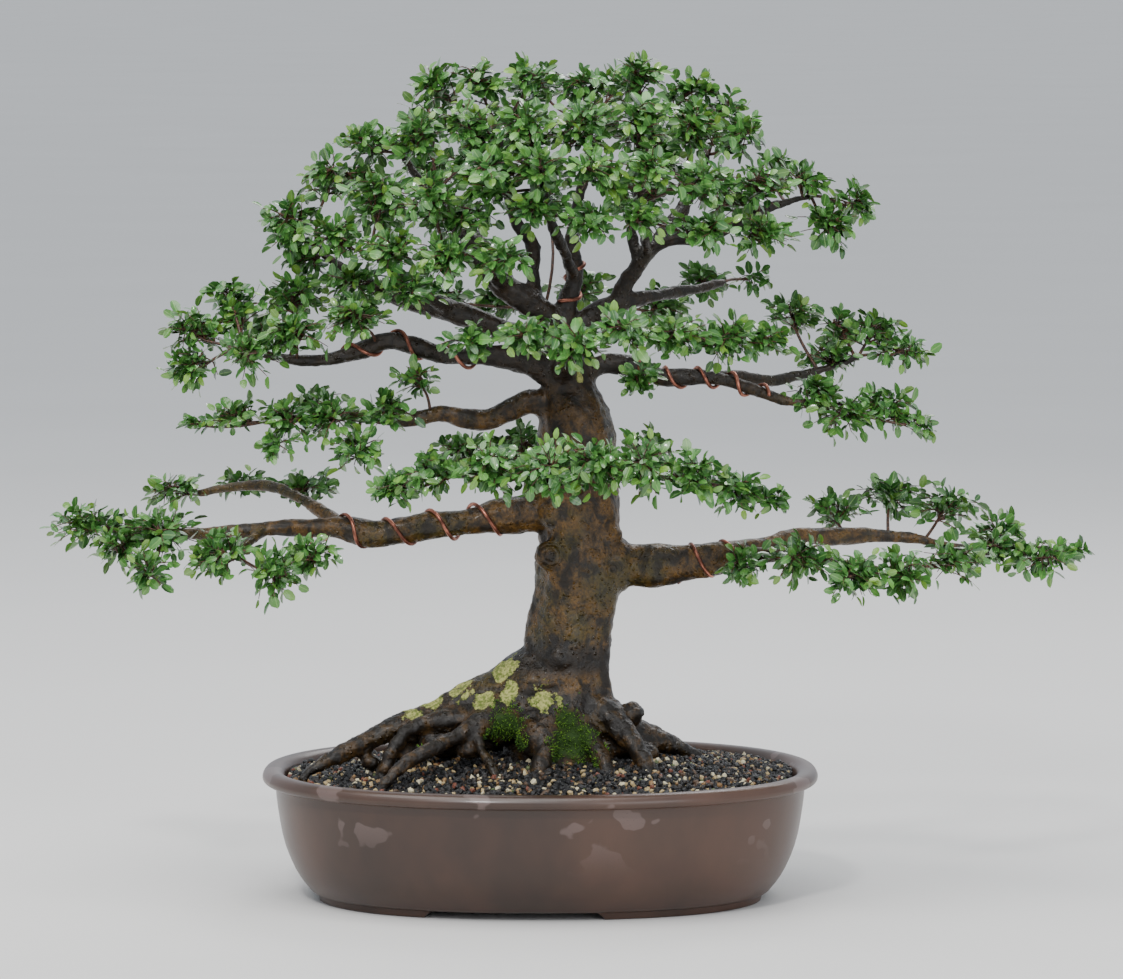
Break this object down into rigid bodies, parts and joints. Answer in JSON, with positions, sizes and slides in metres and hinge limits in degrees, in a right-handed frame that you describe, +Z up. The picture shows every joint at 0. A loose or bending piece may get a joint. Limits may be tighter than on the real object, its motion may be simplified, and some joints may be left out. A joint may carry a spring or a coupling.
{
  "type": "Chinese elm bonsai",
  "caption": "Chinese elm bonsai with a broad layered crown, surface roots and training wires, planted in a brown glazed oval pot.",
  "frame": {"origin": "on the ground under the pot's feet, at the middle of the whole part's box", "axes": "+X to the viewer's right along the pot's length, +Y away from the viewer, +Z up along the trunk"},
  "size_m": [0.8382, 0.348, 0.7054],
  "materials": {
    "glaze": "satin brown glaze",
    "grit": "damp lava grit",
    "screen_plastic": "matte",
    "bark": "damp rough bark",
    "copper": "annealed copper wire",
    "leaf": "glossy elm leaf"
  },
  "bodies": {
    "root": {"pot": "glaze", "soil": "grit", "drain_screen_left": "screen_plastic", "drain_screen_right": "screen_plastic", "tree_wood": "bark", "wire_left_low": "copper", "wire_right_low": "copper", "wire_left_upper": "copper", "wire_right_upper": "copper", "wire_center": "copper", "left_low_spray_1": "leaf", "left_low_spray_2": "leaf", "left_low_spray_3": "leaf", "left_low_spray_4": "leaf", "left_low_spray_5": "leaf", "left_low_spray_6": "leaf", "right_low_spray_1": "leaf", "right_low_spray_2": "leaf", "right_low_spray_3": "leaf", "right_low_spray_4": "leaf", "right_low_spray_5": "leaf", "right_low_spray_6": "leaf", "right_low_spray_7": "leaf", "front_low_spray_1": "leaf", "front_low_spray_2": "leaf", "front_low_spray_3": "leaf", "front_low_spray_4": "leaf", "left_mid_spray_1": "leaf", "left_mid_spray_2": "leaf", "left_mid_spray_3": "leaf", "left_upper_spray_1": "leaf", "left_upper_spray_2": "leaf", "left_upper_spray_3": "leaf", "left_upper_spray_4": "leaf", "front_high_spray_1": "leaf", "front_high_spray_2": "leaf", "front_high_spray_3": "leaf", "right_upper_spray_1": "leaf", "right_upper_spray_2": "leaf", "right_upper_spray_3": "leaf", "right_upper_spray_4": "leaf", "crown_left_spray_1": "leaf", "crown_left_spray_2": "leaf", "crown_left_spray_3": "leaf", "crown_left_spray_4": "leaf", "crown_left_spray_5": "leaf", "crown_top_spray_1": "leaf", "crown_top_spray_2": "leaf", "crown_top_spray_3": "leaf", "crown_front_spray_1": "leaf", "crown_front_spray_2": "leaf", "crown_right_spray_1": "leaf", "crown_right_spray_2": "leaf", "crown_right_spray_3": "leaf", "crown_right_spray_4": "leaf", "back_low_spray": "leaf", "back_low_right_spray": "leaf", "back_high_spray": "leaf", "back_crown_left_spray": "leaf", "back_crown_right_spray": "leaf"}
  },
  "joints": []
}
